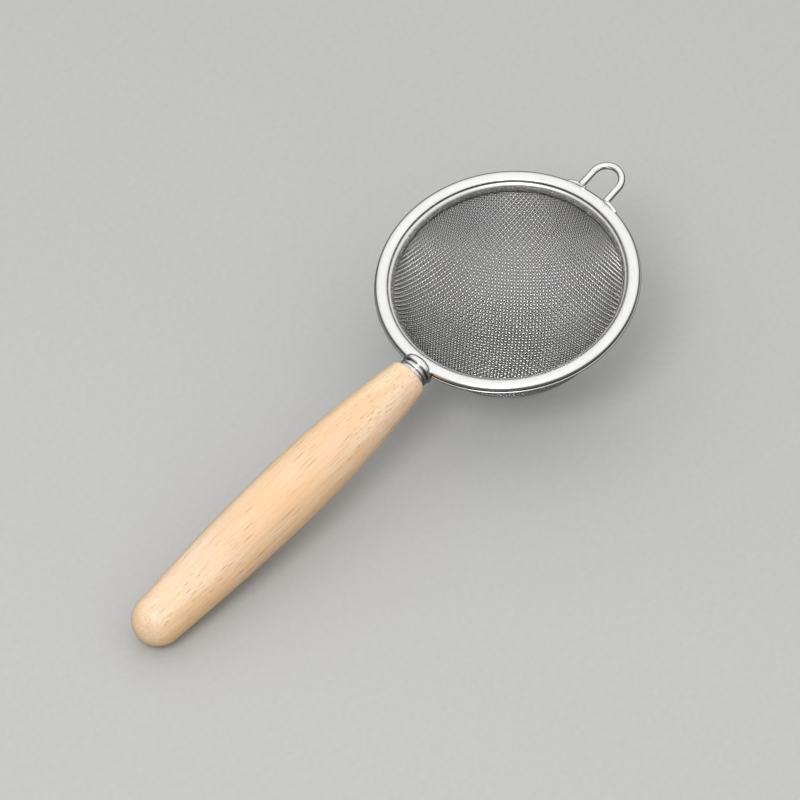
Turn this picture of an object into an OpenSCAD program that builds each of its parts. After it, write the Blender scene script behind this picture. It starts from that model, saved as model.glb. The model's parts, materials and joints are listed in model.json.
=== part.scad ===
// Round tea strainer with a woven wire basket, a turned wooden handle and a hanging loop.
// It is drawn level about the rim's crest, with the handle towards -X, and is then tilted
// so that the basket and the tip of the handle both stand on the plane z = 0.

/* [Rim] */
// Outer radius of the rim, over the lip under the cover ring
rim_r = 34; // [30:0.5:45]
// Width of the rolled cover ring
cover_w = 3.3; // [2.6:0.1:4]
// Height of the cover ring's crown above the middle of its roll
cover_h = 1; // [0.8:0.1:1.4]
// Height of the lip under the cover ring
lip_t = 0.7; // [0.5:0.1:1]
// Thickness of the rim's sheet steel
sheet = 0.5; // [0.4:0.05:0.6]
// Thickness of the inner clamp band
band_t = 0.4; // [0.3:0.05:0.5]
// Depth of the clamp band's lower edge below the crest
band_depth = 3.4; // [3:0.1:4.2]
// Depth of the outer skirt's lower edge below the crest
skirt_depth = 4.8; // [4:0.1:6]

/* [Basket] */
// Total thickness of the woven wire
weave_t = 0.6; // [0.4:0.05:0.8]
// Depth of the middle of the round bowl below the crest
bowl_drop = 0.6; // [0.4:0.05:1.6]

/* [Hanging loop] */
// Diameter of the loop's wire
wire_d = 1.8; // [1:0.1:1.9]
// Distance between the middles of the loop's two legs
leg_gap = 8.4; // [7:0.1:11]
// Reach of the loop beyond the rim
loop_reach = 9; // [8:0.1:14]
// Upward slope of the loop from the rim's plane, in degrees
loop_rise = 8; // [0:1:20]

/* [Neck] */
// Diameter of the bolster
bolster_d = 9.2; // [8.8:0.1:9.6]
// Diameter of the ferrule
ferrule_d = 8.3; // [7.4:0.1:8.8]
// Length of the ferrule
ferrule_l = 1.8; // [1.2:0.1:2.4]
// Distance from the rim's edge to the wood
neck_l = 2.8; // [2.6:0.1:5]
// Diameter of the tang inside the handle
tang_d = 2.8; // [2:0.1:3.2]
// Length of the tang inside the wood
tang_l = 58; // [30:1:70]

/* [Handle] */
// Overall length along the strainer's own axis
overall_l = 178; // [160:1:220]
// Radius of the handle just behind its rounded shoulder
shoulder_r = 5.2; // [5:0.1:6.5]
// Largest radius of the handle
belly_r = 8.4; // [7:0.1:10]
// Distance from the wood's front face to its thickest place
belly_s = 43; // [35:1:50]
// Radius of the handle's round tip
tip_r = 6.6; // [5:0.1:7]
// Depth of the handle's axis below the rim's crest
axis_drop = 2; // [1.8:0.1:3]

/* [Hidden] */
$fn = 96;

// Clearance between pressed or welded pieces that touch
gap = 0.02;
// Clearance between pieces that only pass each other
play = 0.15;
// How far a cutting shape reaches past the piece that it cuts
spare = 2;

// The cover's roll is half an ellipse from the seam with the clamp band, down to a small curl
lip_reach = 0.3;
cover_r = rim_r - lip_reach;
roll_r = cover_r - cover_w / 2;
seam_angle = 155;
seam_r = roll_r + cover_w / 2 * cos(seam_angle);
curl_r = 0.3;
curl_drop = 0.35;
cover_depth = cover_h + curl_drop;

// The clamp band's funnel ends in a flange that is tucked under the cover
seam_step = 0.05;
band_top = cover_h - seam_step;
flange_reach = 0.6;
band_flange_r = roll_r - flange_reach;
funnel_r = seam_r - seam_step;
funnel_reach = 1.1;
band_back_r = funnel_r - funnel_reach;
mouth_r = band_back_r - band_t;

// The backing ring steps down from under the band to a lip under the cover's curl
groove = 0.25;
backing_top = band_top + band_t + gap;
lip_top = cover_depth + groove;
lip_depth = lip_top + lip_t;
step_r = cover_r - sheet - play;

// The basket lies between the band and the skirt, and its edge reaches up behind the band
bowl_clear = 0.1;
basket_lap = 0.7;
bowl_in_r = norm([band_back_r + bowl_clear, band_depth - bowl_drop]);
bowl_r = bowl_in_r + weave_t;
basket_top = band_depth - basket_lap;
skirt_r = bowl_r + gap;

// The loop's legs start on flat feet that lie on the lip, against the cover's edge
leg_start = 0.1;
leg_x = rim_r + leg_start;
leg_lift = 0.25;
bend_x = rim_r + loop_reach - leg_gap / 2 - wire_d / 2;
leg_l = (bend_x - leg_x) / cos(loop_rise);
foot_r = cover_r + gap;
foot_t = 0.8;
foot_lift = 0.1;
foot_depth = lip_top - gap;
foot_from = 3.3;
foot_to = 8.2;

// The neck, measured along the handle's axis from the rim's middle. The bolster's round nose
// laps over the cover, and a narrower waist parts the bolster from the ferrule.
nose_lap = 2.06;
nose_x = cover_r - nose_lap;
nose_round = 2;
waist_step = 0.5;
waist_r = ferrule_d / 2 - waist_step;
waist_l = 0.6;
ferrule_x = rim_r + neck_l - ferrule_l;
wood_x = rim_r + neck_l;
edge_round = 0.3;
bore_clear = 0.05;
bore_r = tang_d / 2 + bore_clear;
tang_clear = 1;
bore_l = tang_l + tang_clear;

// The handle, measured along its axis from the wood's front face
wood_l = overall_l - loop_reach - rim_r - wood_x;
tip_s = wood_l - tip_r;
tip_x = wood_x + tip_s;
shoulder_round = 1.2;
tip_slope = atan(2 * (belly_r - tip_r) / (tip_s - belly_s));

// The tilt at which the bowl and the tip reach down equally far
axis_rise = axis_drop - bowl_drop;
rest_tilt = asin((bowl_r - tip_r) / norm([tip_x, axis_rise])) - atan2(axis_rise, tip_x);
crest_z = bowl_r + bowl_drop * cos(rest_tilt);

// The shift that puts the middle of the whole length over the origin
loop_end_drop = -leg_lift - (leg_l + leg_gap / 2) * sin(loop_rise);
loop_end_x = leg_x + (leg_l + leg_gap / 2) * cos(loop_rise);
front_x = loop_end_x * cos(rest_tilt) + loop_end_drop * sin(rest_tilt) + wire_d / 2;
back_x = -tip_x * cos(rest_tilt) + axis_drop * sin(rest_tilt) - tip_r;
middle_x = (front_x + back_x) / 2;

// Points along an arc of an ellipse about c, with half axes a and b
function arc(c, a, b, from, to, steps) = [
    for (i = [0 : steps])
        let (t = from + (to - from) * i / steps)
        [c[0] + a * cos(t), c[1] + b * sin(t)]
];

// Radius of the wood at distance s from its front face
function wood_r(s) = s < belly_s
    ? belly_r - (belly_r - shoulder_r) * pow((belly_s - s) / belly_s, 2)
    : belly_r - (belly_r - tip_r) * pow((s - belly_s) / (tip_s - belly_s), 2);

// Puts a piece that was drawn level into its place at rest
module at_rest() {
    translate([-middle_x, 0, crest_z])
        rotate([0, -rest_tilt, 0])
            children();
}

// Turns an outline of [radius, distance] points about the handle's axis, from distance 0 at x
module along_handle(x) {
    translate([-x, 0, -axis_drop])
        rotate([0, -90, 0])
            rotate_extrude()
                children();
}

module rim_cover() {
    c = [roll_r, -cover_h];
    outside = arc(c, cover_w / 2, cover_h, seam_angle, 0, 16);
    curl = arc([cover_r - curl_r, -cover_depth + curl_r], curl_r, curl_r, 0, -90, 5);
    inside = arc(c, cover_w / 2 - sheet, cover_h - sheet, 0, seam_angle, 16);
    color("gainsboro")
        at_rest()
            rotate_extrude()
                polygon(concat(
                    outside,
                    curl,
                    [[cover_r - sheet, -cover_depth]],
                    inside
                ));
}

module rim_band() {
    c = [funnel_r, -band_depth];
    front = arc(c, funnel_r - mouth_r, band_depth - band_top, 90, 180, 10);
    back = arc(c, funnel_r - band_back_r, band_depth - band_top - band_t, 180, 90, 10);
    color("silver")
        at_rest()
            rotate_extrude()
                polygon(concat(
                    front,
                    back,
                    [[band_flange_r, -band_top - band_t], [band_flange_r, -band_top]]
                ));
}

module rim_backing() {
    color("darkgray")
        at_rest()
            rotate_extrude()
                polygon([
                    [skirt_r, -backing_top],
                    [step_r, -backing_top],
                    [step_r, -lip_top],
                    [rim_r, -lip_top],
                    [rim_r, -lip_depth],
                    [step_r - sheet, -lip_depth],
                    [step_r - sheet, -backing_top - sheet],
                    [skirt_r + sheet, -backing_top - sheet],
                    [skirt_r + sheet, -skirt_depth],
                    [skirt_r, -skirt_depth]
                ]);
}

module mesh_basket() {
    beyond = bowl_r + spare;
    color("lightgray")
        at_rest()
            translate([0, 0, -bowl_drop])
                rotate_extrude()
                    difference() {
                        circle(r = bowl_r);
                        circle(r = bowl_in_r);
                        translate([-beyond, bowl_drop - basket_top])
                            square(2 * beyond);
                        translate([-2 * beyond, -beyond])
                            square(2 * beyond);
                    }
}

// One leg of the loop, and the flat foot that it stands on
module loop_leg(side) {
    translate([leg_x, side * leg_gap / 2, leg_lift])
        rotate([0, 90 - loop_rise, 0])
            cylinder(h = leg_l, d = wire_d);
    angle_from = asin(foot_from / foot_r);
    angle_to = asin(foot_to / foot_r);
    rotate([0, 0, side > 0 ? angle_from : -angle_to])
        rotate_extrude(angle = angle_to - angle_from)
            translate([foot_r, -foot_depth])
                square([foot_t, foot_depth + foot_lift]);
}

module hanging_loop() {
    color("gainsboro")
        at_rest() {
            loop_leg(1);
            loop_leg(-1);
            translate([leg_x, 0, leg_lift])
                rotate([0, -loop_rise, 0])
                    translate([leg_l, 0, 0])
                        rotate([0, 0, -90])
                            rotate_extrude(angle = 180)
                                translate([leg_gap / 2, 0])
                                    circle(d = wire_d);
        }
}

module handle_bolster() {
    nose_l = ferrule_x - nose_x;
    r = bolster_d / 2;
    roll = arc([roll_r, -cover_h], cover_w / 2 + gap, cover_h + gap, seam_angle, 0, 16);
    color("gainsboro")
        at_rest()
            difference() {
                along_handle(nose_x)
                    polygon(concat(
                        arc([0, nose_round], r, nose_round, -90, 0, 12),
                        [[r, nose_l - waist_l], [waist_r, nose_l - waist_l]],
                        [[waist_r, nose_l], [0, nose_l]]
                    ));
                rotate_extrude()
                    polygon(concat(
                        roll,
                        [[cover_r + gap, -lip_top + gap], [rim_r + gap, -lip_top + gap]],
                        [[rim_r + gap, -2 * r], [nose_x - spare, -2 * r]]
                    ));
            }
}

module ferrule() {
    r = ferrule_d / 2;
    color("silver")
        at_rest()
            along_handle(ferrule_x)
                polygon(concat(
                    [[bore_r, 0]],
                    arc([r - edge_round, edge_round], edge_round, edge_round, -90, 0, 4),
                    arc([r - edge_round, ferrule_l - edge_round], edge_round, edge_round, 0, 90, 4),
                    [[bore_r, ferrule_l]]
                ));
}

module tang() {
    color("gray")
        at_rest()
            along_handle(ferrule_x)
                square([tang_d / 2, ferrule_l + tang_l]);
}

module handle() {
    shoulder = arc([shoulder_r - shoulder_round, shoulder_round],
        wood_r(shoulder_round) - shoulder_r + shoulder_round, shoulder_round, -90, 0, 6);
    barrel_steps = 24;
    tip_from = tip_s + tip_r * sin(tip_slope);
    barrel = [
        for (i = [1 : barrel_steps - 1])
            let (s = shoulder_round + (tip_from - shoulder_round) * i / barrel_steps)
            [wood_r(s), s]
    ];
    color("burlywood")
        at_rest()
            difference() {
                along_handle(wood_x)
                    polygon(concat(
                        [[0, 0]],
                        shoulder,
                        barrel,
                        arc([0, tip_s], tip_r, tip_r, tip_slope, 90, 16)
                    ));
                along_handle(wood_x)
                    translate([0, -spare])
                        square([bore_r, bore_l + spare]);
            }
}

rim_cover();
rim_band();
rim_backing();
mesh_basket();
hanging_loop();
handle_bolster();
ferrule();
tang();
handle();
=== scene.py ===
import json
import math

import bmesh
import bpy
import numpy as np
from mathutils import Matrix, Vector


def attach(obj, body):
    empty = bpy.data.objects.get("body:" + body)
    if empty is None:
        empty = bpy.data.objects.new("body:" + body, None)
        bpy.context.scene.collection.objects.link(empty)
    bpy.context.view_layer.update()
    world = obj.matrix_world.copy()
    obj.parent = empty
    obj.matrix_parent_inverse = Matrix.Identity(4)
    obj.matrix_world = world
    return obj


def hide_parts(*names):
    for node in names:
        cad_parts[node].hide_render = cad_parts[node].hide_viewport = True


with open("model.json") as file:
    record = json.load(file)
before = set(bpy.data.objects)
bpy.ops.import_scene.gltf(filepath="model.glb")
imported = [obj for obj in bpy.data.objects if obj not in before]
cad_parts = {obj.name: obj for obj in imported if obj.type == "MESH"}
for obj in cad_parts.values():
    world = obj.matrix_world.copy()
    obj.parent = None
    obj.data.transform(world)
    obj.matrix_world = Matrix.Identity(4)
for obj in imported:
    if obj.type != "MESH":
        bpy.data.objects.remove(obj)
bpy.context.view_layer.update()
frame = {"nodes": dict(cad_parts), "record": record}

MM = 0.001

# Driving dimensions, in millimetres in the level strainer's own frame: the rim's crest is z = 0,
# the handle points to -X and the hanging loop to +X.
RIM_R = 34.0
COVER_R = 33.7
COVER_W = 3.3
COVER_H = 1.0
COVER_DEPTH = 1.35
SHEET = 0.5
SEAM_ANGLE = 155
BAND_T = 0.4
BAND_TOP = 0.95
BAND_DEPTH = 3.4
BAND_REACH = 1.1
FLANGE_REACH = 0.6
FUNNEL_R = 30.5
SKIRT_R = 30.26
SKIRT_DEPTH = 4.8
LIP_T = 0.7
LIP_DEPTH = 2.3
BOWL_R = 29.93
BOWL_DROP = 0.6
BOWL_TOP_ANGLE = 85.9
PITCH = 0.885
WIRE_R = 0.15
WEAVE_TURN = 37.5
LOOP_WIRE_R = 0.92
LEG_Y = 4.2
LEG_X = 34.1
LEG_Z = 0.25
LOOP_RISE = 8
BEND_X = 37.9
FOOT_R = 33.55
FOOT_Z = -0.55
AXIS_DROP = 2.0
BOLSTER_R = 4.6
NOSE_X = 31.64
NOSE_ROUND = 2.0
WAIST_R = 3.65
WAIST_L = 0.6
FERRULE_X = 35.0
FERRULE_R = 4.15
FERRULE_L = 1.8
BORE_R = 1.45
BORE_L = 59.0
WOOD_X = 36.8
WOOD_L = 98.2
SHOULDER_R = 5.2
SHOULDER_ROUND = 1.2
BELLY_R = 8.4
BELLY_S = 43.0
TIP_R = 6.6
# Clearances: between pieces that touch, and between pieces that only pass each other
GAP = 0.02
PLAY = 0.15

# Worked out from them: where the cover meets the band, and the dark line over the lip
ROLL_R = COVER_R - COVER_W / 2
SEAM_R = ROLL_R + COVER_W / 2 * math.cos(math.radians(SEAM_ANGLE))
SEAM_Z = -BAND_TOP
GROOVE_DEPTH = (COVER_DEPTH + LIP_DEPTH - LIP_T) / 2

# Steps round the rings of the rim
RING_STEPS = 384

# The camera, as fitted to the photograph: where it looks, from where, and through what lens
LOOK_AT = Vector((16.38, 9.29, 0.0)) * MM
AZIMUTH = -48.2
ELEVATION = 49.3
DISTANCE = 1329.9 * MM
ROLL = 1.51
LENS = 234.0
SENSOR_W = 36.0


# ---------------------------------------------------------------- places


def level_to_rest():
    """From the level strainer's frame, in millimetres, to the strainer at rest, in metres."""
    mount = next(m for m in frame["record"]["mounts"] if m["name"] == "cup_rest")
    down = Vector(mount["axis"]).normalized()
    crest = Vector(mount["pos_m"]) - down * LIP_DEPTH * MM
    turn = Matrix((Vector((-down.z, 0, down.x)), Vector((0, 1, 0)), -down)).transposed()
    return Matrix.Translation(crest) @ turn.to_4x4() @ Matrix.Scale(MM, 4)


AT_REST = level_to_rest()
# Turned pieces of the neck and handle are drawn along +Z, which then points along the handle
ALONG_HANDLE = Matrix.Translation((0, 0, -AXIS_DROP)) @ Matrix.Rotation(math.radians(-90), 4, "Y")


# ---------------------------------------------------------------- outlines


def arc(centre, a, b, start, end, steps):
    """Points along an arc of an ellipse, with half axes a and b, from start to end in degrees."""
    angles = np.radians(np.linspace(start, end, steps + 1))
    return [(centre[0] + a * math.cos(t), centre[1] + b * math.sin(t)) for t in angles]


def rounded(corners, radius, steps=6):
    """An open line of corners, with each inner corner turned into a bend of that radius."""
    line = [corners[0]]
    for before, here, after in zip(corners, corners[1:], corners[2:]):
        b, h, a = (Vector(p) for p in (before, here, after))
        start = h + (b - h).normalized() * radius
        end = h + (a - h).normalized() * radius
        for i in range(steps + 1):
            t = i / steps
            line.append(tuple(start.lerp(h, t).lerp(h.lerp(end, t), t)))
    return line + [corners[-1]]


def sheet_outline(line, thickness, end_steps=5):
    """The closed outline of a sheet along a line of (radius, height) points, with round edges."""
    points = np.array(line, float)
    along = np.gradient(points, axis=0)
    along /= np.linalg.norm(along, axis=1)[:, None]
    side = np.stack([-along[:, 1], along[:, 0]], 1) * thickness / 2
    angles = np.linspace(0, math.pi, end_steps + 2)[1:-1, None]
    far_end = points[-1] + np.cos(angles) * side[-1] + np.sin(angles) * along[-1] * thickness / 2
    near_end = points[0] - np.cos(angles) * side[0] - np.sin(angles) * along[0] * thickness / 2
    return np.concatenate([points + side, far_end, (points - side)[::-1], near_end])


# ---------------------------------------------------------------- meshes


def piece(name, points, faces, place, lay=None):
    """A closed, smooth mesh. lay holds each point's place in its material, in millimetres."""
    mesh = bpy.data.meshes.new(name)
    mesh.from_pydata(np.asarray(points, float).tolist(), [], [list(f) for f in faces])
    if lay is not None:
        attribute = mesh.attributes.new("lay", "FLOAT_VECTOR", "POINT")
        attribute.data.foreach_set("vector", np.asarray(lay, np.float32).ravel())
    mesh.transform(place)
    obj = bpy.data.objects.new(name, mesh)
    bpy.context.scene.collection.objects.link(obj)
    tidy = bmesh.new()
    tidy.from_mesh(mesh)
    bmesh.ops.remove_doubles(tidy, verts=tidy.verts, dist=1e-8)
    bmesh.ops.recalc_face_normals(tidy, faces=tidy.faces)
    tidy.to_mesh(mesh)
    tidy.free()
    mesh.polygons.foreach_set("use_smooth", [True] * len(mesh.polygons))
    return obj


def turned_mesh(outline, steps):
    """Points, faces and lay of a closed outline of (radius, height) points turned about z."""
    outline = np.array(outline, float)
    count = len(outline)
    angles = np.arange(steps) * 2 * math.pi / steps
    cosines, sines = np.cos(angles)[:, None], np.sin(angles)[:, None]
    heights = np.broadcast_to(outline[:, 1], (steps, count))
    points = np.stack([outline[:, 0] * cosines, outline[:, 0] * sines, heights], 2)
    across = np.cumsum(np.linalg.norm(np.diff(outline, axis=0, prepend=outline[:1]), axis=1))
    around = [np.broadcast_to(values, (steps, count)) for values in (across, cosines, sines)]
    ring = np.arange(count)
    here, beyond = ring, ring + count
    quad = np.stack([here, np.roll(here, -1), np.roll(beyond, -1), beyond], 1)
    faces = (quad[None] + np.arange(steps)[:, None, None] * count) % (steps * count)
    return points.reshape(-1, 3), faces.reshape(-1, 4).tolist(), np.stack(around, 2).reshape(-1, 3)


def turned(name, outline, place, steps):
    """A piece turned about z from a closed outline."""
    points, faces, lay = turned_mesh(outline, steps)
    return piece(name, points, faces, place, lay)


def tube(centres, outward, half_out, half_side, sides):
    """Points and faces of a closed tube along centres, with its two half widths at each centre."""
    along = np.gradient(centres, axis=0)
    along /= np.linalg.norm(along, axis=1)[:, None]
    side = np.cross(along, outward)
    side /= np.linalg.norm(side, axis=1)[:, None]
    out = np.cross(side, along)
    angles = np.arange(sides) * 2 * math.pi / sides
    rings = (
        centres[:, None]
        + (half_out * out.T).T[:, None] * np.cos(angles)[None, :, None]
        + (half_side * side.T).T[:, None] * np.sin(angles)[None, :, None]
    )
    start = np.arange(len(centres) - 1)[:, None] * sides
    corner = np.arange(sides)[None]
    after = (corner + 1) % sides
    quads = np.stack([start + corner, start + after, start + sides + after, start + sides + corner], 2)
    faces = quads.reshape(-1, 4).tolist()
    last = (len(centres) - 1) * sides
    faces.append(list(range(sides))[::-1])
    faces.append(list(range(last, last + sides)))
    return rings.reshape(-1, 3), faces


def joined(parts):
    """Several (points, faces) as one."""
    points, faces, start = [], [], 0
    for some_points, some_faces in parts:
        points.append(some_points)
        faces += [[start + i for i in face] for face in some_faces]
        start += len(some_points)
    return np.concatenate(points), faces


def apply_modifiers(obj):
    """Makes what obj's modifiers show its own mesh."""
    bpy.context.view_layer.update()
    shown = obj.evaluated_get(bpy.context.evaluated_depsgraph_get())
    mesh = bpy.data.meshes.new_from_object(shown)
    obj.modifiers.clear()
    obj.data = mesh
    mesh.polygons.foreach_set("use_smooth", [True] * len(mesh.polygons))


def local_places(obj, place):
    """Each point of a finished piece in the frame of that matrix."""
    places = np.zeros(len(obj.data.vertices) * 3)
    obj.data.vertices.foreach_get("co", places)
    back = np.array(place.inverted())
    return places.reshape(-1, 3) @ back[:3, :3].T + back[:3, 3]


def add_painted_shade(obj, place, rings):
    """Paints shade into the crevices as a darkening mask: rings about the frame's z, each with its
    radius, height and reach.
    """
    local = local_places(obj, place)
    radius = np.hypot(local[:, 0], local[:, 1])
    painted_shade = np.zeros(len(local))
    for ring_r, ring_z, reach in rings:
        far = np.hypot(radius - ring_r, local[:, 2] - ring_z) / reach
        painted_shade = np.maximum(painted_shade, np.clip(1.5 - 1.5 * far, 0, 1))
    data = obj.data.attributes.get("painted_shade") or obj.data.attributes.new("painted_shade", "FLOAT", "POINT")
    old = np.zeros(len(local), np.float32)
    data.data.foreach_get("value", old)
    data.data.foreach_set("value", np.maximum(old, painted_shade).astype(np.float32))
    return obj


def weld_smooth(obj, voxel, rounds):
    """Runs a piece's overlapping parts into one skin, with soft fillets where they meet."""
    remesh = obj.modifiers.new("one_skin", "REMESH")
    remesh.mode = "VOXEL"
    remesh.voxel_size = voxel * MM
    soften = obj.modifiers.new("soft_edges", "SMOOTH")
    soften.factor = 0.5
    soften.iterations = rounds
    apply_modifiers(obj)


# ---------------------------------------------------------------- pieces


def make_cover():
    """The ring on top of the rim: half a roll, and an edge rolled down outside it."""
    roll = arc((ROLL_R, -COVER_H), (COVER_W - SHEET) / 2, COVER_H - SHEET / 2, SEAM_ANGLE, 0, 40)
    curl_end = (COVER_R - SHEET / 2, -COVER_DEPTH + SHEET / 2)
    cover = turned("cover_ring", sheet_outline(roll + [curl_end], SHEET), AT_REST, RING_STEPS)
    # Painted shade along the seam with the band and in the groove over the lip.
    return add_painted_shade(cover, AT_REST, [(SEAM_R, SEAM_Z, 0.3), (COVER_R - 0.05, -GROOVE_DEPTH, 0.42)])


def make_band():
    """The clamp band: a flange tucked under the cover, and a funnel down to the basket."""
    flange = (ROLL_R - FLANGE_REACH, -BAND_TOP - BAND_T / 2)
    reach = BAND_REACH + BAND_T / 2
    funnel = arc((FUNNEL_R, -BAND_DEPTH), reach, BAND_DEPTH - BAND_TOP - BAND_T / 2, 90, 180, 28)
    band = turned("clamp_band", sheet_outline([flange] + funnel, BAND_T), AT_REST, RING_STEPS)
    # Painted shade along the seam and at the funnel's lower edge over the basket.
    crevices = [(SEAM_R, SEAM_Z, 0.5), (FUNNEL_R - BAND_REACH, -BAND_DEPTH, 1.15)]
    return add_painted_shade(band, AT_REST, crevices)


def make_backing():
    """The skirt round the basket, a flat ring, and the lip under the cover's edge."""
    skirt_r = SKIRT_R + SHEET / 2
    top = -BAND_TOP - BAND_T - GAP - SHEET / 2
    step_r = COVER_R - SHEET - PLAY - SHEET / 2
    bend_r = 0.24
    corners = [(skirt_r, -SKIRT_DEPTH + SHEET / 2), (skirt_r, top), (step_r, top)]
    ring = sheet_outline(rounded(corners, bend_r), SHEET)
    lip_z = -LIP_DEPTH + LIP_T / 2
    lip_line = [(step_r - SHEET / 2 + LIP_T / 2, lip_z), (RIM_R - LIP_T / 2, lip_z)]
    lip = sheet_outline(lip_line, LIP_T, end_steps=9)
    parts = [turned_mesh(outline, RING_STEPS) for outline in (ring, lip)]
    points, faces = joined([(points, faces) for points, faces, _ in parts])
    lay = np.concatenate([lay for _, _, lay in parts])
    backing = piece("backing_ring", points, faces, AT_REST, lay)
    # Painted shade in the groove between the cover's edge and the lip.
    return add_painted_shade(backing, AT_REST, [(COVER_R - 0.1, -GROOVE_DEPTH, 0.42)])


def on_bowl(across, along, lift):
    """Where points of the flat cloth end up on the pressed bowl, and the way out of it there."""
    # No wire runs quite straight: each set sways a little in a long wave of its own
    sway = 0.22
    across = across + sway * np.sin(along / 11.0 + 0.6)
    along = along + sway * np.sin(across / 13.0 - 0.9)
    angle = np.hypot(across, along) / BOWL_R
    around = np.arctan2(along, across) + math.radians(WEAVE_TURN)
    out = np.stack([np.sin(angle) * np.cos(around), np.sin(angle) * np.sin(around), -np.cos(angle)], 1)
    return out * (BOWL_R + lift)[:, None] - np.array([0, 0, BOWL_DROP]), out


def make_wires(name, crosswise, parity):
    """Every second wire of the warp, or of the weft if crosswise, crimped over and under the other."""
    reach = BOWL_R * math.radians(BOWL_TOP_ANGLE)
    count = int(reach / PITCH)
    step = PITCH / 3
    # Sides of each wire, and the fewest steps in half a wire that is worth making
    sides, shortest = 6, 6
    parts, lays = [], []
    for number in range(-count, count):
        if number % 2 != parity:
            continue
        offset = (number + 0.5) * PITCH
        half = int(math.sqrt(reach**2 - offset**2) / step)
        if half < shortest:
            continue
        along = (np.arange(-half, half) + 0.5) * step
        across = np.full(len(along), offset)
        flip = -1 if crosswise else 1
        lift = WIRE_R * flip * (-1) ** number * np.sin(math.pi * along / PITCH)
        flat = (along, across) if crosswise else (across, along)
        centres, out = on_bowl(*flat, lift)
        size = np.full(len(along), WIRE_R)
        parts.append(tube(centres, out, size, size, sides))
        lay = np.stack([along, across, lift / WIRE_R], 1)
        lays.append(np.repeat(lay, sides, axis=0))
    points, faces = joined(parts)
    wires = piece(name, points, faces, AT_REST, np.concatenate(lays))
    # Painted shade on the wires where they run in under the band's lower edge.
    return add_painted_shade(wires, AT_REST, [(FUNNEL_R - BAND_REACH, -BAND_DEPTH, 1.6)])


def make_loop():
    """The loop's bent wire, with both ends pressed into feet along the rim's edge."""
    slope = math.tan(math.radians(LOOP_RISE))
    # How far the legs run into their feet, and how far the feet reach along the rim from them
    tuck, inner_toe, outer_toe = 0.9, 1.3, 4.0

    def line(x, y):
        return (x, y, LEG_Z + (x - LEG_X) * slope)

    bend = [
        line(BEND_X + LEG_Y * math.sin(t) * math.cos(math.radians(LOOP_RISE)), LEG_Y * math.cos(t))
        for t in np.linspace(0, math.pi, 49)
    ]
    leg = [line(x, LEG_Y) for x in np.linspace(LEG_X - tuck, BEND_X, 14, endpoint=False)]
    back = [(x, -y, z) for x, y, z in reversed(leg)]
    centres = np.array(leg + bend + back)
    upward = np.tile([0.0, 0.0, 1.0], (len(centres), 1))
    size = np.full(len(centres), LOOP_WIRE_R)
    parts = [tube(centres, upward, size, size, sides=32)]
    for side in (1, -1):
        along = np.linspace(-inner_toe, outer_toe, 49)
        share = np.where(along < 0, along / -inner_toe, along / outer_toe)
        # The foot is thick and tall at the leg, and thins towards the tips of its toes
        swell = np.sqrt(np.clip(1 - share**1.6, 0.03, 1))
        thick, tall, rise = 0.3 + 0.4 * swell, 0.15 + 0.6 * swell, 0.45 * swell**2
        angles = (along + LEG_Y) / FOOT_R
        foot_x, foot_y = FOOT_R * np.cos(angles), side * FOOT_R * np.sin(angles)
        foot = np.stack([foot_x, foot_y, FOOT_Z + rise], 1)
        away = foot * [1, 1, 0]
        parts.append(tube(foot, away, thick, tall, sides=24))
    loop = piece("hanging_wire", *joined(parts), AT_REST)
    weld_smooth(loop, voxel=0.075, rounds=4)
    # Painted shade where the feet meet the rim.
    return add_painted_shade(loop, AT_REST, [(COVER_R + 0.3, -COVER_DEPTH, 0.7)])


def make_bolster():
    """The neck's round nose, which laps over the cover's crown, and its waist."""
    length = FERRULE_X - NOSE_X
    edge, clear, past_seam, spare = 0.25, 0.03, 10, 3
    waist = length - WAIST_L
    outline = (
        arc((0, NOSE_ROUND), BOLSTER_R, NOSE_ROUND, -90, 0, 32)
        + arc((BOLSTER_R - edge, waist - edge), edge, edge, 0, 90, 5)
        + [(WAIST_R, waist), (WAIST_R, length), (0, length)]
    )
    place = AT_REST @ Matrix.Translation((-NOSE_X, 0, 0)) @ ALONG_HANDLE
    nose = turned("neck_bolster", outline, place, steps=128)
    start = SEAM_ANGLE + past_seam
    roll = arc((ROLL_R, -COVER_H), COVER_W / 2 + clear, COVER_H + clear, start, 0, 40)
    lip_top = -LIP_DEPTH + LIP_T + clear
    bottom = -spare * BOLSTER_R
    under = [
        (COVER_R + clear, lip_top),
        (RIM_R + clear, lip_top),
        (RIM_R + clear, bottom),
        (NOSE_X - spare, bottom),
    ]
    cutter = turned("cutter", roll + under, AT_REST, steps=512)
    cut = nose.modifiers.new("over_the_rim", "BOOLEAN")
    cut.object = cutter
    cut.operation = "DIFFERENCE"
    cut.solver = "EXACT"
    apply_modifiers(nose)
    bpy.data.objects.remove(cutter)
    weld_smooth(nose, voxel=0.06, rounds=3)
    # Painted shade where the nose laps over the groove by the lip, and in the corner of its waist.
    add_painted_shade(nose, AT_REST, [(COVER_R + 0.2, -GROOVE_DEPTH, 0.9)])
    waist_place = FERRULE_X - WAIST_L + 0.05
    return add_painted_shade(nose, AT_REST @ ALONG_HANDLE, [(WAIST_R, waist_place, 0.38)])


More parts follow.
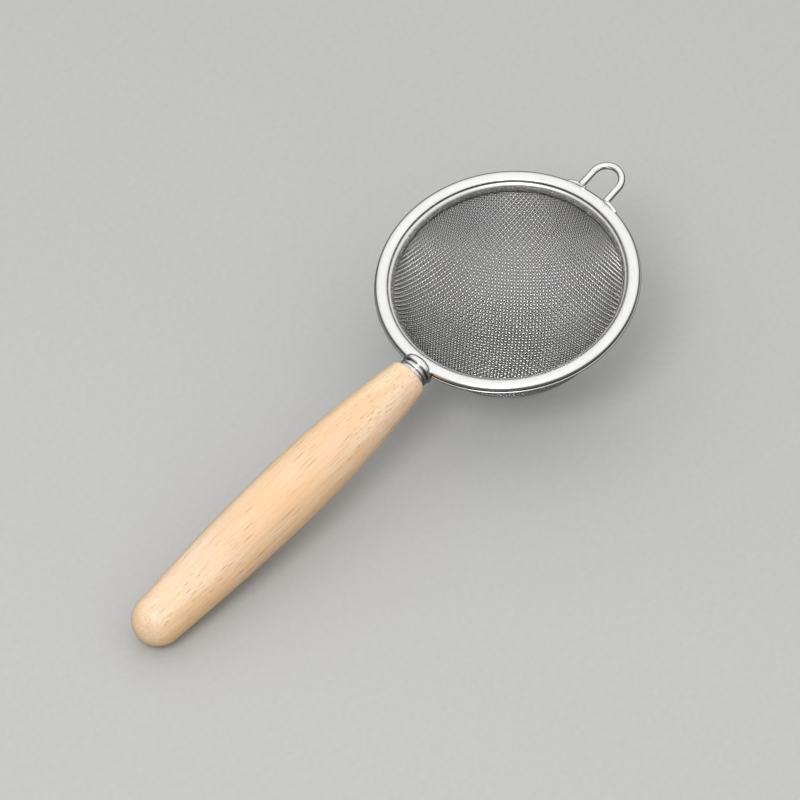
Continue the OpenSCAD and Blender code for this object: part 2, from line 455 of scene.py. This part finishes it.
def make_ferrule():
    """The collar, with a turned groove near its front edge."""
    edge, groove, groove_s, flat = 0.2, 0.14, 0.75, 0.3
    outline = (
        [(BORE_R, 0.05), (FERRULE_R - edge - flat, GAP)]
        + arc((FERRULE_R - edge, edge), edge, edge, -90, 0, 6)
        + arc((FERRULE_R, groove_s), groove, groove / 2, 270, 90, 8)
        + arc((FERRULE_R - edge, FERRULE_L - edge), edge, edge, 0, 90, 6)
        + [(FERRULE_R - edge - flat, FERRULE_L - GAP), (BORE_R, FERRULE_L - GAP)]
    )
    place = AT_REST @ Matrix.Translation((-FERRULE_X, 0, 0)) @ ALONG_HANDLE
    ferrule = turned("neck_ferrule", outline, place, steps=160)
    # Painted shade in the groove and at the back edge, where the ferrule meets the wood.
    crevices = [(FERRULE_R - groove, groove_s, 0.15), (FERRULE_R, FERRULE_L, 0.2)]
    return add_painted_shade(ferrule, place, crevices)


def wood_r(s):
    """Radius of the wood at distance s from its front face."""
    if s < BELLY_S:
        return BELLY_R - (BELLY_R - SHOULDER_R) * ((BELLY_S - s) / BELLY_S) ** 2
    return BELLY_R - (BELLY_R - TIP_R) * ((s - BELLY_S) / (WOOD_L - TIP_R - BELLY_S)) ** 2


def make_handle():
    """The turned wood, with its blind bore."""
    tip_s = WOOD_L - TIP_R
    slope = math.degrees(math.atan(2 * (BELLY_R - TIP_R) / (tip_s - BELLY_S)))
    tip_from = tip_s + TIP_R * math.sin(math.radians(slope))
    shoulder = arc(
        (SHOULDER_R - SHOULDER_ROUND, SHOULDER_ROUND),
        wood_r(SHOULDER_ROUND) - SHOULDER_R + SHOULDER_ROUND,
        SHOULDER_ROUND,
        -90,
        0,
        14,
    )
    barrel = [(wood_r(s), s) for s in np.linspace(SHOULDER_ROUND, tip_from, 90)[1:-1]]
    tip = arc((0, tip_s), TIP_R, TIP_R, slope, 90, 40)
    tip[-1] = (0, WOOD_L)
    outline = [(BORE_R, 0)] + shoulder + barrel + tip + [(0, BORE_L), (BORE_R, BORE_L)]
    place = AT_REST @ Matrix.Translation((-WOOD_X, 0, 0)) @ ALONG_HANDLE
    handle = turned("turned_handle", outline, place, steps=192)
    # The wood's grain runs straight through the solid, so its lay is the point's own place.
    local = local_places(handle, place)
    handle.data.attributes["lay"].data.foreach_set("vector", local.astype(np.float32).ravel())
    # Painted shade where the wood meets the ferrule, and at the bore's end.
    return add_painted_shade(handle, place, [(FERRULE_R + 0.15, 0, 0.45), (0, BORE_L, 1)])


# ---------------------------------------------------------------- materials


class Nodes:
    """Short ways to add nodes to a material's tree and link them."""

    def __init__(self, name):
        self.material = bpy.data.materials.new(name)
        self.material.use_nodes = True
        self.tree = self.material.node_tree
        self.shader = self.tree.nodes["Principled BSDF"]

    def add(self, kind, inputs=None, **settings):
        """A new node, with each input linked to another node's output or set to a plain value."""
        node = self.tree.nodes.new("ShaderNode" + kind)
        for key, value in settings.items():
            setattr(node, key, value)
        for key, value in (inputs or {}).items():
            if isinstance(value, bpy.types.NodeSocket):
                self.tree.links.new(value, node.inputs[key])
            else:
                node.inputs[key].default_value = value
        return node

    def lay(self, scale):
        """The point's place in its material, scaled per millimetre along each of its three ways."""
        attribute = self.add("Attribute", attribute_name="lay")
        inputs = {"Vector": attribute.outputs["Vector"], "Scale": scale}
        return self.add("Mapping", inputs).outputs["Vector"]

    def noise(self, vector, scale=1.0, detail=3.0, roughness=0.5, distortion=0.0):
        """A noise between 0 and 1."""
        inputs = {
            "Vector": vector,
            "Scale": scale,
            "Detail": detail,
            "Roughness": roughness,
            "Distortion": distortion,
        }
        return self.add("TexNoise", inputs).outputs["Fac"]

    def ranged(self, value, low, high, to_low, to_high):
        """A value taken from the range low to high into another range, and held inside it."""
        inputs = {
            "Value": value,
            "From Min": low,
            "From Max": high,
            "To Min": to_low,
            "To Max": to_high,
        }
        return self.add("MapRange", inputs).outputs["Result"]

    def spread(self, noise, low, high):
        """A noise, which mostly lies between 0.3 and 0.7, spread from low to high."""
        return self.ranged(noise, 0.3, 0.7, low, high)

    def maths(self, operation, a, b):
        """Two values put through one arithmetic operation."""
        return self.add("Math", {0: a, 1: b}, operation=operation).outputs[0]

    def mixed(self, share, a, b):
        """Colour a, with that share of colour b."""
        node = self.add("Mix", {"Factor": share}, data_type="RGBA")
        for socket, value in ((node.inputs[6], a), (node.inputs[7], b)):
            if isinstance(value, bpy.types.NodeSocket):
                self.tree.links.new(value, socket)
            else:
                socket.default_value = (*value, 1)
        return node.outputs[2]

    def bump(self, height, strength, distance):
        """A normal roughened by a height, with the distance in millimetres."""
        inputs = {"Height": height, "Strength": strength, "Distance": distance * MM}
        return self.add("Bump", inputs).outputs["Normal"]

    def out(self, **values):
        """Sets the shader's sockets: links nodes' outputs, and types plain values in."""
        for key, value in values.items():
            socket = self.shader.inputs[key.replace("_", " ")]
            if isinstance(value, bpy.types.NodeSocket):
                self.tree.links.new(value, socket)
            else:
                socket.default_value = value


def world_place(n):
    """The point's place in the row frame, in millimetres."""
    coords = n.add("TexCoord").outputs["Object"]
    return n.add("Mapping", {"Vector": coords, "Scale": (1 / MM, 1 / MM, 1 / MM)}).outputs["Vector"]


def with_painted_shade(n, tone, colour, most):
    """The tone, with painted shade darkening the piece's crevices."""
    painted_shade = n.add("Attribute", attribute_name="painted_shade").outputs["Fac"]
    patches = n.spread(n.noise(world_place(n), 1.3, 3.0, 0.6), 0.8, 1.0)
    share = n.maths("MULTIPLY", n.maths("MULTIPLY", painted_shade, patches), most)
    return n.mixed(share, tone, colour)


def steel(name, pale, dark, rough, line_scale, line_depth):
    """Polished sheet: hair-fine lines round the piece, faint clouds and a few deeper scratches."""
    n = Nodes(name)
    place = world_place(n)
    lines = n.noise(n.lay((line_scale, 3.0, 3.0)), 1.0, 4.0, 0.65)
    clouds = n.noise(place, 0.16, 3.0, 0.55)
    smears = n.noise(place, 0.9, 4.0, 0.6, 0.8)
    scratch = n.noise(n.lay((line_scale * 0.35, 7.0, 7.0)), 1.0, 1.0, 0.4)
    deep = n.ranged(scratch, 0.68, 0.74, 0.0, 1.0)
    tone = n.mixed(n.spread(clouds, 0.0, 1.0), dark, pale)
    tone = n.mixed(n.maths("MULTIPLY", deep, 0.35), tone, tuple(0.72 * c for c in dark))
    # Painted shade: the crevices that the mask marks are darkened.
    tone = with_painted_shade(n, tone, (0.06, 0.055, 0.045), 0.92)
    roughness = n.maths("ADD", n.spread(clouds, rough, rough * 1.5), n.spread(lines, -0.02, 0.03))
    roughness = n.maths("ADD", roughness, n.ranged(smears, 0.45, 0.75, 0.0, 0.05))
    height = n.maths("SUBTRACT", lines, n.maths("MULTIPLY", deep, 0.8))
    n.out(
        Base_Color=tone,
        Roughness=roughness,
        Normal=n.bump(height, 0.25, line_depth),
        Metallic=1.0,
    )
    return n.material


def wire_steel():
    """Bright drawn wire: draw marks along it, and painted shade on its slopes, where it passes from
    over one wire to under the next.
    """
    n = Nodes("drawn_wire")
    place = world_place(n)
    lay = n.add("Attribute", attribute_name="lay").outputs["Vector"]
    parts = n.add("SeparateXYZ", {"Vector": lay})
    marks = n.noise(n.lay((0.35, 9.0, 2.0)), 1.0, 3.0, 0.6)
    clouds = n.noise(place, 0.11, 3.0, 0.5)
    dip = n.maths("ABSOLUTE", parts.outputs["Z"], 0.0)
    tone = n.mixed(n.spread(clouds, 0.0, 1.0), (0.92, 0.92, 0.91), (0.97, 0.965, 0.95))
    # Painted shade on each wire's slopes between its crossings; the knuckles stay bright.
    tone = n.mixed(n.ranged(dip, 0.38, 0.76, 0.96, 0.0), tone, (0.035, 0.034, 0.03))
    # Painted shade where the wires run in under the band's lower edge.
    tone = with_painted_shade(n, tone, (0.05, 0.045, 0.04), 0.9)
    roughness = n.maths("ADD", n.spread(clouds, 0.09, 0.15), n.spread(marks, -0.02, 0.03))
    n.out(Base_Color=tone, Roughness=roughness, Normal=n.bump(marks, 0.15, 0.01), Metallic=1.0)
    return n.material


def beech():
    """Turned beech: pale bands of growth, fine fibres, and short dark ray flecks along the grain."""
    n = Nodes("turned_beech")
    growth = n.noise(n.lay((0.30, 0.12, 0.011)), 1.0, 3.0, 0.55, 0.5)
    bands = n.noise(n.lay((0.20, 0.16, 0.010)), 1.0, 3.0, 0.6, 0.4)
    streaks = n.noise(n.lay((1.5, 1.5, 0.02)), 1.0, 3.0, 0.6)
    fibres = n.noise(n.lay((3.0, 3.0, 0.05)), 1.0, 3.0, 0.6)
    blush = n.noise(n.lay((0.09, 0.09, 0.03)), 1.0, 2.0, 0.5)

    def flecks(scale, size, shift):
        lay = n.add("Mapping", {"Vector": n.lay(scale), "Location": shift}).outputs["Vector"]
        cells = n.add("TexVoronoi", {"Vector": lay, "Scale": 1.0, "Randomness": 1.0}, feature="F1")
        rare = n.add("SeparateColor", {"Color": cells.outputs["Color"]}).outputs["Red"]
        near = n.ranged(cells.outputs["Distance"], size * 0.45, size, 1.0, 0.0)
        return n.maths("MULTIPLY", near, n.ranged(rare, 0.45, 0.75, 0.0, 1.0))

    long_flecks = flecks((3.0, 3.0, 0.055), 0.25, (0.0, 0.0, 0.0))
    short_flecks = flecks((3.6, 3.6, 0.17), 0.21, (3.7, 1.9, 5.1))
    tone = n.mixed(n.ranged(growth, 0.32, 0.68, 0.0, 1.0), (0.82, 0.575, 0.335), (0.86, 0.665, 0.455))
    layers = [
        (n.ranged(bands, 0.46, 0.60, 0.0, 0.75), (0.80, 0.49, 0.25)),
        (n.ranged(blush, 0.42, 0.62, 0.0, 0.55), (0.80, 0.60, 0.455)),
        (n.ranged(streaks, 0.50, 0.68, 0.0, 0.45), (0.70, 0.44, 0.235)),
        (n.ranged(fibres, 0.46, 0.70, 0.0, 0.45), (0.64, 0.40, 0.215)),
        (n.maths("MULTIPLY", short_flecks, 0.65), (0.34, 0.19, 0.10)),
        (n.maths("MULTIPLY", long_flecks, 0.9), (0.22, 0.125, 0.065)),
    ]
    for share, colour in layers:
        tone = n.mixed(share, tone, colour)
    # Painted shade where the wood meets the ferrule, and at the bore's end.
    tone = with_painted_shade(n, tone, (0.30, 0.17, 0.08), 0.8)
    roughness = n.ranged(fibres, 0.3, 0.75, 0.36, 0.50)
    pores = n.maths("ADD", n.maths("MULTIPLY", fibres, -0.5), n.maths("MULTIPLY", long_flecks, -0.6))
    n.out(
        Base_Color=tone,
        Roughness=roughness,
        Normal=n.bump(pores, 0.3, 0.03),
        Coat_Weight=0.2,
        Coat_Roughness=0.25,
    )
    return n.material


def dress(obj, material, slot, *nodes):
    """Gives a finished piece its material and its place on the body, and hides the CAD nodes it stands
    for.
    """
    obj.data.materials.clear()
    obj.data.materials.append(material)
    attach(obj, "root")
    if nodes:
        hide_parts(*nodes)


# ---------------------------------------------------------------- stage


def make_camera():
    """A long lens, which looks along the azimuth and down by the elevation."""
    azimuth, elevation = math.radians(AZIMUTH), math.radians(ELEVATION)
    back = Vector(
        (
            math.sin(azimuth) * math.cos(elevation),
            -math.cos(azimuth) * math.cos(elevation),
            math.sin(elevation),
        )
    )
    data = bpy.data.cameras.new("camera")
    data.lens = LENS
    data.sensor_width = SENSOR_W
    data.clip_start = 0.01
    data.clip_end = 50
    camera = bpy.data.objects.new("camera", data)
    bpy.context.scene.collection.objects.link(camera)
    level = back.to_track_quat("Z", "Y").to_matrix().to_4x4()
    turn = level @ Matrix.Rotation(math.radians(ROLL), 4, "Z")
    camera.matrix_world = Matrix.Translation(LOOK_AT + back * DISTANCE) @ turn
    bpy.context.scene.camera = camera


def make_floor():
    """A plain pale floor, with a little tooth in its paint."""
    half = 2.5
    mesh = bpy.data.meshes.new("floor")
    corners = [(-half, -half, 0), (half, -half, 0), (half, half, 0), (-half, half, 0)]
    mesh.from_pydata(corners, [], [(0, 1, 2, 3)])
    floor = bpy.data.objects.new("floor", mesh)
    bpy.context.scene.collection.objects.link(floor)
    n = Nodes("pale_floor")
    tooth = n.noise(world_place(n), 0.6, 4.0)
    tone = n.mixed(n.spread(tooth, 0.0, 1.0), (0.425, 0.425, 0.42), (0.445, 0.445, 0.44))
    n.out(Base_Color=tone, Roughness=0.55)
    mesh.materials.append(n.material)
    # The polished steel mirrors the dark of the studio below it, and not the pale floor
    floor.visible_glossy = False


def make_lamp(name, towards, distance, size, power):
    """A soft square lamp that looks at the strainer from the given direction."""
    data = bpy.data.lights.new(name, "AREA")
    data.shape = "SQUARE"
    data.size = size
    data.energy = power
    lamp = bpy.data.objects.new(name, data)
    bpy.context.scene.collection.objects.link(lamp)
    way = Vector(towards).normalized()
    lamp.location = LOOK_AT + way * distance
    lamp.rotation_euler = way.to_track_quat("Z", "Y").to_euler()


def make_sky():
    """A white light tent: bright from low down to overhead, over a darker strip at the horizon."""
    world = bpy.data.worlds.new("studio")
    bpy.context.scene.world = world
    world.use_nodes = True
    tree = world.node_tree
    coords = tree.nodes.new("ShaderNodeTexCoord")
    parts = tree.nodes.new("ShaderNodeSeparateXYZ")
    ramp = tree.nodes.new("ShaderNodeValToRGB")
    tree.links.new(coords.outputs["Generated"], parts.inputs[0])
    tree.links.new(parts.outputs["Z"], ramp.inputs[0])
    tree.links.new(ramp.outputs[0], tree.nodes["Background"].inputs["Color"])
    stops = [(0.0, 0.12), (0.15, 0.20), (0.34, 0.62), (0.6, 1.0), (1.0, 1.12)]
    while len(ramp.color_ramp.elements) < len(stops):
        ramp.color_ramp.elements.new(0.5)
    for element, (position, grey) in zip(ramp.color_ramp.elements, stops):
        element.position = position
        element.color = (grey, grey, grey, 1)
    tree.nodes["Background"].inputs["Strength"].default_value = 1.0


# ---------------------------------------------------------------- the strainer

make_camera()
make_floor()
make_sky()
make_lamp("key", towards=(-0.75, -0.25, 1.15), distance=1.3, size=0.5, power=7.0)
bpy.context.scene.view_settings.view_transform = "Standard"

rim_steel = steel(
    "polished_steel",
    pale=(0.87, 0.865, 0.86),
    dark=(0.82, 0.815, 0.81),
    rough=0.10,
    line_scale=9.0,
    line_depth=0.004,
)
band_steel = steel(
    "satin_steel",
    pale=(0.80, 0.79, 0.785),
    dark=(0.73, 0.72, 0.715),
    rough=0.18,
    line_scale=7.0,
    line_depth=0.008,
)
wire = wire_steel()
wood = beech()

dress(make_cover(), rim_steel, "rim_steel", "rim_cover")
dress(make_band(), band_steel, "band_steel", "rim_band")
dress(make_backing(), band_steel, "band_steel", "rim_backing")
for name, crosswise in (("warp", False), ("weft", True)):
    for parity, which in enumerate(("even", "odd")):
        wires = make_wires(f"{name}_wires_{which}", crosswise, parity)
        dress(wires, wire, "mesh_wire", "mesh_basket")
dress(make_loop(), rim_steel, "rim_steel", "hanging_loop")
dress(make_bolster(), rim_steel, "rim_steel", "handle_bolster")
dress(make_ferrule(), band_steel, "band_steel", "ferrule")
dress(make_handle(), wood, "beech", "handle")

# The tang is hidden in the neck and the wood, so its CAD node stays and only takes its steel
tang = frame["nodes"]["tang"]
for slot in tang.material_slots:
    slot.material = band_steel
